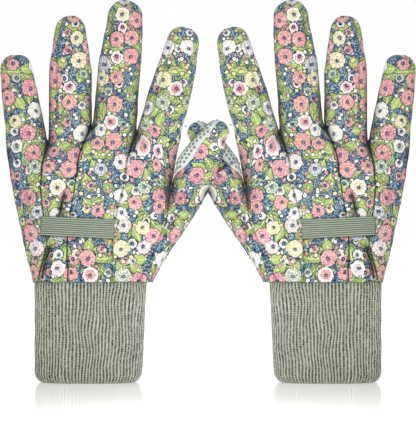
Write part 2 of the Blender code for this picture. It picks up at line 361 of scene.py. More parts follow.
def finger_ring(name, along, angles):
    """Points of a finger's skin at angles round it, from 0 at the little finger's side over the back."""
    finger = FINGERS[name]
    (ax, az), (cx, cz) = directions(finger)
    half_width, half_depth = finger_size(finger, along)
    if name != "thumb":
        half_width += ROOT_WIDENING * (1 - float(eased(along / ROOT_LENGTH)))
    drift, start, end = finger["bow"]
    across = drift * float(eased((along - start) / (end - start))) - half_width * np.cos(angles)
    x = finger["base"][0] + along * ax + across * cx
    z = finger["base"][1] + along * az + across * cz
    y = thumb_shift(name, along) - half_depth * np.sin(angles)
    return np.stack([x, y, z], axis=1)


def finger_painted_shade(name, along, angles, back):
    """How dark the painted shade on the sides of a finger is, near its neighbours and at the seam of its
    side strip.
    """
    if not back or name == "thumb":
        return np.zeros_like(angles)
    finger = FINGERS[name]
    reach = 1 - eased(along / (0.75 * finger["length"]))
    left = np.exp(-((angles / 0.42) ** 2)) * (name != "pinky")
    right = np.exp(-(((np.pi - angles) / between(0.35, 0.6, reach)) ** 2)) * (name != "index")
    dark = np.minimum(1.15 * reach, 1.0) * np.maximum(left, right)
    if name != "pinky":
        line = np.exp(-(((angles - SIDE_SEAM) / 0.045) ** 2))
        dark = np.maximum(dark, 0.55 * side_seam_reach(finger, along) * line)
    return dark


def wander(grid):
    """Moves a grid's points a little in the plane of the glove, the same on the back and the palm."""
    moved = grid.copy()
    for r, row in enumerate(grid):
        for c, (x, _, z) in enumerate(row):
            moved[r, c, 0] += OUTLINE_WANDER * noise.noise(Vector((x / 16, z / 9, 5.0)))
            moved[r, c, 2] += OUTLINE_WANDER * noise.noise(Vector((x / 9, z / 16, 15.0)))
    return moved


def crumple(grid, seed, depth):
    """Moves a grid's points a little along its normals, less at its seams."""
    down = np.gradient(grid, axis=0)
    over = np.gradient(grid, axis=1)
    normal = np.cross(over, down)
    normal /= np.maximum(np.linalg.norm(normal, axis=2, keepdims=True), 1e-9)
    edge = np.sin(ANGLES) ** 0.5
    size = np.zeros(grid.shape[:2])
    for r in range(grid.shape[0]):
        for c in range(1, COLUMNS):
            x, _, z = grid[r, c]
            soft = noise.noise(Vector((x / 17, z / 30, seed)))
            fine = noise.noise(Vector((x / 5.5 + 40, z / 9.0, seed + 7)))
            size[r, c] = (soft + 0.38 * fine) * edge[c]
    return grid + normal * (size * depth)[:, :, None]


class Strip:
    """The cloth from the wrist to a fingertip, back or palm: its points, its flat pattern and its cuts."""

    def __init__(self, strip, back):
        self.name = NAMES[strip]
        self.back = back
        finger = FINGERS[self.name]
        straight = finger["length"] - finger["tip"]
        turn = THUMB_TURN if self.name == "thumb" else 0.0
        round_half = ANGLES if back else -ANGLES
        made = [hand_row(strip, r / HAND_ROWS, back) for r in range(HAND_ROWS + 1)]
        rows, dark = [m[0] for m in made], [m[1] for m in made]
        for r in range(1, STUB_ROWS):
            share = r / STUB_ROWS
            angles = round_half + turn * float(eased((share - 0.15) / 0.85))
            rows.append(between(crotch_row(strip, angles), finger_ring(self.name, 0.0, angles), share))
            dark.append(between(made[-1][1], finger_painted_shade(self.name, 0.0, ANGLES, back), share))
        steps = round(straight / ROW_STEP)
        places = [straight * s / steps for s in range(steps + 1)]
        places += [straight + finger["tip"] * math.sin(math.radians(a)) for a in TIP_ANGLES]
        rows += [finger_ring(self.name, along, round_half + turn) for along in places]
        dark += [finger_painted_shade(self.name, along, ANGLES, back) for along in places]
        self.along = [None] * (HAND_ROWS + STUB_ROWS) + places
        grid = np.array(rows)
        low, high = HAND_ROWS - SMOOTH_BELOW, HAND_ROWS + STUB_ROWS + SMOOTH_ABOVE
        for _ in range(SMOOTH_TIMES):
            blurred = (grid[low - 1 : high - 1] + 2 * grid[low:high] + grid[low + 1 : high + 1]) / 4
            grid[low:high, 1:-1] = blurred[:, 1:-1]
            grid[HAND_ROWS + 2 : high, [0, -1]] = blurred[HAND_ROWS + 2 - low :, [0, -1]]
        self.across = self.row_directions(grid)
        depth = BACK_CRUMPLE if back else PALM_CRUMPLE
        grid = crumple(wander(grid), strip * 3.1 + (0 if back else 50), depth)
        if back and self.name not in ("pinky", "thumb"):
            self.sew_side(grid, places)
        self.grid = grid
        # Each point's painted shade, which is nil on the palm.
        self.dark = np.clip(np.array(dark), 0.0, 1.0)
        self.flat = self.unrolled()
        bend = finger["bend"] - finger["tip_fold"]
        cut = next(r for r, along in enumerate(self.along) if along is not None and along >= bend)
        self.cuts = {"hand": (0, HAND_ROWS), "base": (HAND_ROWS, cut), "tip": (cut, len(rows) - 1)}

    def row_directions(self, grid):
        """For each row the direction in (x, z) from the little finger's side to the thumb's."""
        _, (cx, cz) = directions(FINGERS[self.name])
        hand = (grid[:, -1] - grid[:, 0])[:, [0, 2]]
        hand = hand / np.maximum(np.linalg.norm(hand, axis=1, keepdims=True), 1e-9)
        share = eased((np.arange(len(grid)) - HAND_ROWS + 20) / (STUB_ROWS + 20))[:, None]
        mixed = between(hand, np.array([[cx, cz]]), share)
        return mixed / np.linalg.norm(mixed, axis=1, keepdims=True)

    def sew_side(self, grid, places):
        """Presses in the seam between a finger's side strip and its back."""
        first = HAND_ROWS + STUB_ROWS
        finger = FINGERS[self.name]
        press = 0.55 * np.exp(-(((ANGLES - SIDE_SEAM) / 0.07) ** 2))
        for r, along in enumerate(places):
            grid[first + r, :, 1] += press * side_seam_reach(finger, along)

    def unrolled(self):
        """Where each point lies on the flat cloth, in millimetres."""
        grid = self.grid
        middle = COLUMNS // 2
        step = np.diff(grid[:, middle], axis=0)
        plane = step[:, [0, 2]]
        longer = np.linalg.norm(step, axis=1) / np.maximum(np.linalg.norm(plane, axis=1), 1e-6)
        spine = plane * longer[:, None]
        start = grid[0, middle, [0, 2]]
        centre = start + np.vstack([[0, 0], np.cumsum(spine, axis=0)])
        reach = np.linalg.norm(np.diff(grid, axis=1), axis=2)
        walked = np.hstack([np.zeros((len(grid), 1)), np.cumsum(reach, axis=1)])
        walked -= walked[:, middle : middle + 1]
        return centre[:, None, :] + walked[:, :, None] * self.across[:, None, :]


# ---------------------------------------------------------------------------------------------------------
# Materials
# ---------------------------------------------------------------------------------------------------------


def srgb(red, green, blue):
    """A linear colour from display values of 0 to 255."""

    def linear(value):
        value /= 255
        return value / 12.92 if value <= 0.04045 else ((value + 0.055) / 1.055) ** 2.4

    return (linear(red), linear(green), linear(blue), 1.0)


class Field:
    """A value or a colour that varies over a surface, with arithmetic that adds shader nodes."""

    def __init__(self, net, socket):
        self.net = net
        self.socket = socket

    def __add__(self, other):
        return self.net.math("ADD", self, other)

    def __sub__(self, other):
        return self.net.math("SUBTRACT", self, other)

    def __rsub__(self, other):
        return self.net.math("SUBTRACT", other, self)

    def __mul__(self, other):
        return self.net.math("MULTIPLY", self, other)

    def __truediv__(self, other):
        return self.net.math("DIVIDE", self, other)

    def below(self, other):
        return self.net.math("LESS_THAN", self, other)

    def above(self, other):
        return self.net.math("GREATER_THAN", self, other)

    def size(self):
        return self.net.math("ABSOLUTE", self)

    def wave(self):
        return self.net.math("SINE", self)

    def ripple(self, period):
        return (self * (math.tau / period)).wave()

    def part(self):
        return self.net.math("FRACT", self)


class Net:
    """Builds one material from nodes."""

    def __init__(self, name, roughness, sheen=0.0, specular=0.15):
        self.material = bpy.data.materials.new(name)
        self.material.use_nodes = True
        self.tree = self.material.node_tree
        self.shader = self.tree.nodes["Principled BSDF"]
        self.shader.inputs["Roughness"].default_value = roughness
        self.shader.inputs["Sheen Weight"].default_value = sheen
        self.shader.inputs["Sheen Roughness"].default_value = 0.5
        self.shader.inputs["Specular IOR Level"].default_value = specular

    def put(self, socket, value):
        if isinstance(value, Field):
            self.tree.links.new(value.socket, socket)
        else:
            socket.default_value = value

    def node(self, kind, settings, inputs):
        """A new node, with its attributes by name and its inputs by name or number."""
        node = self.tree.nodes.new(kind)
        for key, value in settings.items():
            setattr(node, key, value)
        for key, value in inputs.items():
            self.put(node.inputs[key], value)
        return node

    def field(self, kind, settings, inputs, output=0):
        return Field(self, self.node(kind, settings, inputs).outputs[output])

    def math(self, operation, a, b=0.0):
        return self.field("ShaderNodeMath", {"operation": operation}, {0: a, 1: b})

    def far(self, x, y):
        """The distance from (0, 0)."""
        return self.math("SQRT", x * x + y * y)

    def mix(self, share, a, b):
        """Colour a where share is 0 and b where it is 1."""
        return self.field("ShaderNodeMix", {"data_type": "RGBA"}, {0: share, 6: a, 7: b}, 2)

    def layered(self, colour, *layers):
        """A colour with others laid over it in turn, each as (share, colour)."""
        for share, over in layers:
            colour = self.mix(share, colour, over)
        return colour

    def flat_place(self):
        return self.field("ShaderNodeUVMap", {"uv_map": "flat"}, {})

    def placed(self, place, shift=(0.0, 0.0), turn=0.0, scale=(1.0, 1.0)):
        moves = {"Location": (*shift, 0.0), "Rotation": (0.0, 0.0, turn), "Scale": (*scale, 1.0)}
        return self.field("ShaderNodeMapping", {}, {"Vector": place, **moves})

    def noise(self, place, size, detail=2.0, output="Fac"):
        inputs = {"Vector": place, "Scale": 1.0 / size, "Detail": detail}
        return self.field("ShaderNodeTexNoise", {"noise_dimensions": "2D"}, inputs, output)

    def wobbled(self, place, size, amount):
        """The place moved about a little, which makes every outline drawn from it uneven."""
        inputs = {0: self.noise(place, size, 1.5, "Color"), 1: (amount, amount, 0.0), 2: place}
        return self.field("ShaderNodeVectorMath", {"operation": "MULTIPLY_ADD"}, inputs)

    def split(self, place):
        node = self.node("ShaderNodeSeparateXYZ", {}, {"Vector": place})
        return [Field(self, part) for part in node.outputs]

    def cells(self, place, spacing, jitter):
        """Scattered places: (x, y) from the nearest one in millimetres, and three random values of it."""
        settings = {"voronoi_dimensions": "2D", "feature": "F1"}
        inputs = {"Vector": place, "Scale": 1.0 / spacing, "Randomness": jitter}
        node = self.node("ShaderNodeTexVoronoi", settings, inputs)
        nearest, colour = (Field(self, node.outputs[key]) for key in ("Position", "Color"))
        offset = self.field("ShaderNodeVectorMath", {"operation": "SUBTRACT"}, {0: place, 1: nearest})
        return *self.split(offset)[:2], *self.split(colour)

    def finish(self, colour, height, bump, roughness=None):
        """The material, with its relief's depth (bump) in millimetres."""
        self.put(self.shader.inputs["Base Color"], colour)
        if roughness is not None:
            self.put(self.shader.inputs["Roughness"], roughness)
        relief = {"Height": height, "Distance": bump * MM, "Strength": 1.0}
        self.put(self.shader.inputs["Normal"], self.field("ShaderNodeBump", {}, relief))
        return self.material


def weave(net, place, pitch):
    """The height of a plain weave."""
    x, y, _ = net.split(place)
    return x.ripple(pitch) * y.ripple(pitch) * 0.5 + net.noise(place, 1.5, 3.0) * 1.5


def stamped(net, below, away, reach, there, tone, rim, rim_share, rim_colour):
    """A shape laid over the colour below, out to its reach, with a dark rim round it."""
    edged = net.mix(away.below(reach + rim) * there * rim_share, below, rim_colour)
    return net.mix(away.below(reach) * there, edged, tone)


def leaves(net, place, below, shift, turn, spacing, chance, greens):
    """A scatter of pointed leaves with pale veins over the colour below."""
    x, y, a, b, c = net.cells(net.placed(place, shift, turn), spacing, 0.85)
    heading = a * math.tau
    co, si = net.math("COSINE", heading), heading.wave()
    along = x * co + y * si
    over = (y * co - x * si).size()
    length = b * 1.6 + 5.2
    share = along / length
    half_width = (1.0 - share * share) * (c * 0.9 + 3.2)
    grown = share.size().below(1.0) * b.below(chance)
    stroke = ((over * 0.9 + along) / 2.1).part().below(0.24)
    vein = net.math("MAXIMUM", over.below(0.34), stroke * 0.8)
    tone = net.layered(
        greens[0],
        (c, greens[1]),
        (net.noise(place, 1.6) * 2.0 - 0.6, greens[2]),
        (over.above(half_width - 0.5) * 0.55, srgb(70, 96, 62)),
        (vein * net.noise(place, 1.3).above(0.4) * 0.8, srgb(226, 228, 170)),
    )
    return stamped(net, below, over, half_width, grown, tone, 0.5, 0.7, srgb(30, 46, 62))


def berries(net, place, below, shift, turn, spacing, chance):
    """A scatter of little round berries with dark edges."""
    x, y, a, b, c = net.cells(net.placed(place, shift, turn), spacing, 0.9)
    away = net.far(x, y)
    tone = net.layered(
        srgb(238, 234, 222),
        (c.above(0.5), srgb(226, 212, 156)),
        (c.above(0.7), srgb(206, 146, 146)),
        (away.below(0.4) * 0.5, srgb(176, 160, 140)),
    )
    return stamped(net, below, away, b * 0.4 + 0.95, a.below(chance), tone, 0.5, 0.85, srgb(26, 40, 62))


def blossoms(net, place, below, shift, turn, spacing, sizes, rose_share, chance):
    """A scatter of round flowers, roses and paler ones, with strokes winding round a dark eye."""
    x, y, a, b, c = net.cells(net.placed(place, shift, turn), spacing, 0.74)
    away = net.far(x, y)
    heading = net.math("ARCTAN2", y, x)
    brush = net.noise(place, 1.6, 2.0)
    streak = net.noise(net.placed(place, (9.0, 2.0)), 1.0, 1.0)
    scallop = (heading * 3.5 + b * 17.0).wave().size()
    reach = (c * (sizes[1] - sizes[0]) + sizes[0]) * 0.88 + scallop * sizes[0] * 0.11 + (brush - 0.5) * 1.8
    is_rose = a.below(rose_share)
    rose = net.layered(
        srgb(206, 142, 152),
        (b.above(0.5), srgb(206, 144, 140)),
        (b.below(0.22), srgb(198, 124, 138)),
    )
    petal = net.layered(
        srgb(218, 216, 212),
        (b.above(0.32), srgb(160, 164, 180)),
        (b.above(0.45), srgb(140, 164, 132)),
        (b.above(0.68), srgb(216, 202, 148)),
        (b.above(0.86), srgb(210, 188, 194)),
    )
    light = net.mix(is_rose, srgb(242, 240, 226), srgb(236, 206, 192))
    deep = net.mix(is_rose, srgb(122, 134, 140), srgb(162, 90, 100))
    from_eye = net.far(x + (b - 0.5) * 1.8, y + (c - 0.5) * 1.8)
    wind = (from_eye / 2.1 + heading * (1.0 / math.tau) + (brush - 0.5) * 2.2).part()
    rays = (heading * 9.0 + brush * 8.0).wave().above(0.62) * away.above(2.0)
    white_edge = (b * 5.3).part().above(0.82) * (away / reach).above(0.66)
    eye = from_eye + (brush - 0.5) * 1.0
    flower = net.layered(
        net.mix(is_rose, petal, rose),
        (wind.below(0.34) * streak.above(0.43) * 0.85, light),
        (wind.above(0.74) * streak.below(0.53) * (is_rose * 0.15 + 0.6), deep),
        (rays * streak.above(0.46) * 0.6, light),
        (white_edge * 0.8, srgb(240, 230, 228)),
        (eye.below(1.6) * 0.5, srgb(82, 96, 126)),
        (eye.below(1.1), srgb(34, 42, 70)),
        (eye.below(0.42), srgb(150, 164, 184)),
    )
    return stamped(net, below, away, reach, c.below(chance), flower, 0.6, 0.75, srgb(28, 42, 62))


def printed_colour(net, place):
    """A generic print of garden flowers on denim blue, as if painted by brush."""
    place = net.wobbled(place, 3.2, 1.3)
    lines = (net.noise(net.placed(place, (3.0, 50.0)), 3.4, 1.0) * 3.6).part()
    colour = net.layered(
        srgb(34, 70, 108),
        (net.noise(net.placed(place, (31.0, 7.0)), 9.0, 1.0), srgb(58, 98, 136)),
        (net.noise(net.placed(place, (13.0, 3.0)), 2.4, 1.0).below(0.42) * 0.6, srgb(20, 38, 62)),
        ((lines - 0.5).size().below(0.13) * 0.75, srgb(184, 200, 196)),
        (net.noise(place, 1.1, 1.0).above(0.6) * 0.6, srgb(140, 160, 160)),
    )
    greens = (srgb(118, 148, 70), srgb(148, 174, 88), srgb(168, 188, 116))
    muted = (srgb(84, 112, 66), srgb(116, 144, 76), srgb(142, 164, 98))
    colour = leaves(net, place, colour, (12.0, 5.0), 0.6, 11.5, 0.8, muted)
    colour = leaves(net, place, colour, (71.0, 23.0), 2.1, 12.4, 0.85, greens)
    colour = berries(net, place, colour, (5.0, 91.0), 0.3, 5.0, 0.42)
    colour = blossoms(net, place, colour, (43.0, 17.0), 1.2, 11.4, (2.8, 3.8), 0.35, 0.58)
    colour = berries(net, place, colour, (55.0, 11.0), 1.1, 5.8, 0.3)
    return blossoms(net, place, colour, (8.0, 63.0), 0.0, 14.6, (4.4, 6.6), 0.67, 0.88)


def with_painted_shade(net, colour):
    """The colour of cloth with painted shade over it, near-black where the mesh's dark attribute says that
    the cloth is folded or sewn, beside the crotches and fingers, or under the strap.
    """
    settings = {"attribute_type": "GEOMETRY", "attribute_name": "dark"}
    return net.mix(net.field("ShaderNodeAttribute", settings, {}, "Fac"), colour, srgb(14, 17, 22))


def print_material():
    net = Net("printed_cotton", 0.85, sheen=0.06)
    place = net.flat_place()
    rough = net.noise(place, 2.0) * 0.2 + 0.76
    return net.finish(with_painted_shade(net, printed_colour(net, place)), weave(net, place, 0.55), 0.09, rough)


def dotted_colour(net, place):
    """White cotton with a breath of green, darker between its threads."""
    x, y, _ = net.split(place)
    threads = x.ripple(0.8) * y.ripple(0.8)
    return net.layered(
        srgb(216, 221, 222),
        (net.noise(place, 7.0), srgb(188, 198, 204)),
        (threads.above(0.35) * 0.3, srgb(160, 176, 180)),
        (net.noise(place, 0.5).above(0.6) * 0.18, srgb(176, 196, 180)),
    )


def palm_material():
    net = Net("dotted_cotton", 0.8, sheen=0.05)
    place = net.flat_place()
    rough = net.noise(place, 2.0) * 0.2 + 0.72
    return net.finish(with_painted_shade(net, dotted_colour(net, place)), weave(net, place, 0.8), 0.1, rough)


def dot_material():
    net = Net("grip_dots", 0.42, specular=0.5)
    place = net.flat_place()
    tone = net.mix(net.noise(place, 3.0), srgb(94, 116, 62), srgb(120, 140, 82))
    return net.finish(tone, net.noise(place, 0.5), 0.05)


def knit_material():
    """Rib knit. Across, one unit is one rib; up, one unit is one row of stitches."""
    net = Net("rib_knit", 0.95, sheen=0.12)
    place = net.flat_place()
    rib, row, _ = net.split(place)
    middle = (rib.part() - 0.5) * 2.0
    loop = (row + middle.size() * 0.6).part()
    stitch = 1.0 - (loop - 0.5).size() * 2.0
    ridge = 1.0 - middle.size()
    fuzz = net.noise(place, 0.3, 3.0)
    streaks = net.noise(net.placed(place, scale=(1.0, 0.12)), 0.9, 2.0)
    patches = net.noise(net.placed(place, scale=(0.35, 0.2)), 1.6, 2.0)
    tweed = net.noise(net.placed(place, scale=(0.9, 0.45)), 0.8, 1.0)
    colour = net.layered(
        srgb(140, 144, 125),
        (streaks * 1.5 - 0.25, srgb(202, 205, 185)),
        # Painted shade in the valleys between the ribs and in the gaps between the stitches' loops.
        (ridge.below(0.5) * (patches * 0.8 + 0.58), srgb(44, 49, 40)),
        (loop.below(0.34) * (patches * 1.1 - 0.05), srgb(78, 86, 70)),
        (fuzz.above(0.58) * 0.55, srgb(228, 231, 218)),
        (tweed.above(0.56) * 0.3, srgb(196, 200, 180)),
    )
    rough = fuzz * 0.1 + 0.88
    return net.finish(colour, stitch * 0.7 + ridge * 0.3 + fuzz * 0.5, 0.45, rough)


def elastic_material():
    """Ribbed elastic. Across is in millimetres; up, one unit is one rib."""
    net = Net("elastic", 0.7, sheen=0.1)
    place = net.flat_place()
    x, y, _ = net.split(place)
    cross = x.ripple(0.7)
    valley = (y.part() - 0.5).size() * 2.0
    streaks = net.noise(net.placed(place, scale=(0.25, 1.0)), 1.2)
    colour = net.layered(
        srgb(132, 145, 124),
        (streaks, srgb(164, 175, 156)),
        # Painted shade in the valleys between the ribs.
        (valley.above(0.5) * 0.9, srgb(60, 72, 56)),
        (cross.above(0.6) * 0.25, srgb(190, 200, 182)),
    )
    return net.finish(colour, cross * 0.5 + net.noise(place, 0.5) * 0.6, 0.15, streaks * 0.2 + 0.65)


def thread_material(name, dark, light):
    net = Net(name, 0.7, sheen=0.2)
    place = net.flat_place()
    x, y, _ = net.split(place)
    ply = (x + y * 0.6).ripple(0.5)
    return net.finish(net.mix(ply * 0.5 + 0.5, dark, light), ply, 0.08)


def tape_material():
    net = Net("seam_tape", 0.9, sheen=0.1)
    place = net.flat_place()
    x, _, _ = net.split(place)
    loops = x.ripple(1.6)
    colour = net.mix(loops * 0.5 + 0.5, srgb(150, 158, 138), srgb(186, 192, 174))
    return net.finish(colour, loops + net.noise(place, 0.6), 0.25)


# ---------------------------------------------------------------------------------------------------------
# Pieces
# ---------------------------------------------------------------------------------------------------------


def put_piece(glove, name, points, faces, flat, material, dark=None):
    """A mesh piece from millimetre points of the left glove.

    Flat holds each point's place on the cloth, and dark how much painted shade the cloth has there.
    """
    points = np.array(points, float) * MM
    faces = [tuple(int(i) for i in face) for face in faces]
    if glove == "right":
        points[:, 0] *= -1
        faces = [face[::-1] for face in faces]
    name = f"{glove}_{name}"
    mesh = bpy.data.meshes.new(name)
    mesh.from_pydata(points.tolist(), [], faces)
    mesh.shade_smooth()
    layer = mesh.uv_layers.new(name="flat")
    corners = np.zeros(len(mesh.loops), int)
    mesh.loops.foreach_get("vertex_index", corners)
    layer.data.foreach_set("uv", np.asarray(flat, float)[corners].astype(np.float32).ravel())
    if dark is not None:
        attribute = mesh.attributes.new("dark", "FLOAT", "POINT")
        attribute.data.foreach_set("value", np.asarray(dark, np.float32))
    mesh.materials.append(material)
    obj = bpy.data.objects.new(name, mesh)
    bpy.context.scene.collection.objects.link(obj)
    return obj


def grid_faces(rows, columns, flip=False, closed=False):
    """Quads over a grid of points. Closed joins the last column to the first."""
    faces = []
    for r in range(rows - 1):
        low, high = r * columns, (r + 1) * columns
        for c in range(columns if closed else columns - 1):
            d = (c + 1) % columns
            face = (low + c, low + d, high + d, high + c)
            faces.append(face[::-1] if flip else face)
    return faces


def capped_faces(start, rings, sides, flip=False):
    """The faces of a closed stack of rings, whose points begin at start."""
    top = (rings - 1) * sides
    caps = [tuple(range(top, top + sides)), tuple(range(sides - 1, -1, -1))]
    faces = grid_faces(rings, sides, flip, closed=True) + [cap[::-1] if flip else cap for cap in caps]
    return [tuple(start + i for i in face) for face in faces]


def add_wall(obj, thickness):
    wall = obj.modifiers.new("wall", "SOLIDIFY")
    wall.thickness = thickness * MM
    wall.offset = -1.0


def join_hand(obj, glove, node=None, wall=None):
    """Makes a piece ride on the hand, in place of its CAD node where it has one."""
    if wall:
        add_wall(obj, wall)
    if node:
        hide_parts(f"{glove}_{node}")
    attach(obj, f"{glove}_hand")


def follow(obj, glove, name, part):
    """Bakes a finger piece's transform into its mesh. It works out where the bend of the piece's part starts
    and ends along the finger, but nothing uses these places.
    """
    finger = FINGERS[name]
    (ax, az), _ = directions(finger)
    mirror = -1 if glove == "right" else 1
    if part == "base":
        reach = finger["fold"]
    else:
        reach = (finger["bend"] - finger["tip_fold"], finger["bend"] + finger["tip_fold"])
    for along in reach:
        x = finger["base"][0] + along * ax
        z = finger["base"][1] + along * az
        mirror * x * MM
        z * MM
    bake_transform(obj)


def add_strip_piece(glove, strip, part, looks):
    """The cloth between two of a strip's cuts. The back's lower piece also covers the hand."""
    half = "back" if strip.back else "palm"
    nodes = [f"{glove}_{strip.name}_{part}_{half}"]
    low, high = strip.cuts[part]
    if part == "base" and strip.back:
        low = 0
        nodes = [f"{glove}_{strip.name}_back_panel", *nodes]
    grid = strip.grid[low : high + 1]
    flat = strip.flat[low : high + 1].reshape(-1, 2)
    dark = strip.dark[low : high + 1].ravel()
    faces = grid_faces(len(grid), COLUMNS + 1, flip=not strip.back)
    name = f"{strip.name}_{part}_{half}_cloth"
    look = looks["print" if strip.back else "palm"]
    obj = put_piece(glove, name, grid.reshape(-1, 3), faces, flat, look, dark)
    add_wall(obj, WALL)
    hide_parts(*nodes)
    follow(obj, glove, strip.name, part)


def add_palm(glove, strips, looks):
    """The palm, joined from the five strips below the crotches."""
    rows, faces = HAND_ROWS + 1, []
    strips = [strip for _, strip in strips]
    for k in range(len(strips)):
        start = k * rows * (COLUMNS + 1)
        faces += [tuple(start + i for i in face) for face in grid_faces(rows, COLUMNS + 1, flip=True)]
    points = np.vstack([strip.grid[:rows].reshape(-1, 3) for strip in strips])
    flats = np.vstack([strip.flat[:rows].reshape(-1, 2) for strip in strips])
    darks = np.hstack([strip.dark[:rows].ravel() for strip in strips])
    obj = put_piece(glove, "palm_cloth", points, faces, flats, looks["palm"], darks)
    weld = bmesh.new()
    weld.from_mesh(obj.data)
    bmesh.ops.remove_doubles(weld, verts=weld.verts, dist=0.02 * MM)
    weld.to_mesh(obj.data)
    weld.free()
    join_hand(obj, glove, "palm", WALL)


DOT_PITCH, DOT_RADIUS, DOT_HEIGHT = 3.5, 1.02, 0.55
DOT_SIDES = 10
DOT_CLEARANCE = 2.5  # the least distance between dots where two strips' patterns meet
CROTCH_MARGIN = 6  # rows below the crotches where the dots leave the seams free
SEAM_MARGIN, THUMB_MARGIN = 7, 3  # columns at the seams without dots
DOT_REACH = 0.9  # from a dot to the grid's nearest point on the flat cloth
DOT_RINGS = [(1.0, -0.25), (0.93, 0.35), (0.66, 0.8), (0.3, 0.97)]  # shares of the radius and the height


def dot_places(strip, low, high):
    """(place, normal, flat place) of the grip dots between two rows of a palm strip, in staggered rows."""
    grid, flat = strip.grid, strip.flat
    rows, columns = grid.shape[:2]
    thumb = strip.name == "thumb"
    fingers = THUMB_MARGIN if thumb else SEAM_MARGIN
    hand = (SEAM_MARGIN * (strip.name == "pinky"), THUMB_MARGIN * thumb)
    tree = kdtree.KDTree(rows * columns)
    for i, (u, v) in enumerate(flat.reshape(-1, 2)):
        tree.insert((u, v, 0.0), i)
    tree.balance()
    over, down = np.gradient(grid, axis=1), np.gradient(grid, axis=0)
    flat_over, flat_down = np.gradient(flat, axis=1), np.gradient(flat, axis=0)
    (u0, v0), (u1, v1) = flat.reshape(-1, 2).min(0), flat.reshape(-1, 2).max(0)
    line = DOT_PITCH * math.sqrt(0.5)
    found = []
    for j in range(int(v0 / line) - 1, int(v1 / line) + 2):
        for i in range(int(u0 / DOT_PITCH) - 2, int(u1 / DOT_PITCH) + 2):
            u = (i + 0.5 * (j % 2)) * DOT_PITCH
            v = j * line
            _, index, distance = tree.find((u, v, 0.0))
            r, c = divmod(index, columns)
            left, right = hand if r < HAND_ROWS - CROTCH_MARGIN else (fingers, fingers)
            if distance > DOT_REACH or not low <= r < high or not left <= c < columns - right:
                continue
            jacobian = np.stack([flat_down[r, c], flat_over[r, c]], axis=1)
            if abs(np.linalg.det(jacobian)) < 1e-4:
                continue
            dr, dc = np.linalg.solve(jacobian, np.array([u, v]) - flat[r, c])
            place = grid[r, c] + down[r, c] * dr + over[r, c] * dc
            normal = np.cross(down[r, c], over[r, c])
            found.append((place, normal / np.linalg.norm(normal), (u, v)))
    return found


def add_dots(glove, name, part, places, look):
    """The moulded grip dots on one piece of the palm's cloth."""
    points, faces, flats = [], [], []
    for place, normal, (u, v) in places:
        side = np.cross(normal, (0.0, 0.0, 1.0))
        side /= max(np.linalg.norm(side), 1e-6)
        other = np.cross(normal, side)
        start = len(points)
        for share, height in DOT_RINGS:
            for k in range(DOT_SIDES):
                angle = math.tau * k / DOT_SIDES
                across, up = math.cos(angle), math.sin(angle)
                around = side * across + other * up
                points.append(place + around * DOT_RADIUS * share + normal * DOT_HEIGHT * height)
                flats.append((u + DOT_RADIUS * share * across, v + DOT_RADIUS * share * up))
        faces += capped_faces(start, len(DOT_RINGS), DOT_SIDES)
    obj = put_piece(glove, f"{name}_{part}_dots", points, faces, flats, look)
    if part == "hand":
        join_hand(obj, glove)
    else:
        follow(obj, glove, name, part)


def box_sizes(node):
    """(half width, half depth, middle in x, low z, high z) of a CAD node in millimetres."""
    low, high = (np.array(corner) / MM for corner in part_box(node))
    return (high[0] - low[0]) / 2, (high[1] - low[1]) / 2, (high[0] + low[0]) / 2, low[2], high[2]


def squared_ring(half_width, half_depth, count):
    """(points round a squared ellipse at equal distances, its length), anticlockwise from above."""
    angles = np.linspace(0, math.tau, 4001)
    c, s = np.cos(angles), np.sin(angles)
    reach = (np.abs(c) ** HAND_POWER + np.abs(s) ** HAND_POWER) ** (-1 / HAND_POWER)
    line = np.stack([half_width * reach * c, half_depth * reach * s], axis=1)
    walked = np.concatenate([[0], np.cumsum(np.linalg.norm(np.diff(line, axis=0), axis=1))])
    at = walked[-1] * np.arange(count) / count
    return np.stack([np.interp(at, walked, line[:, k]) for k in (0, 1)], axis=1), walked[-1]


RIB_PITCH, RIB_DEPTH, RIB_SIDES = 2.25, 1.4, 8
CUFF_LEAN = 1.5  # how far the hem sits towards the little finger's side
CUFF_ROWS, CUFF_CORNER = 52, 7.5
CUFF_TUCK = 1.2  # how far the cuff's top goes up into the hand
RIB_SWAY, RIB_SWELL = 0.85, 0.45
STITCH_PITCH = 1.6
HEM_ROLL = 1.3  # radius of the folded hem


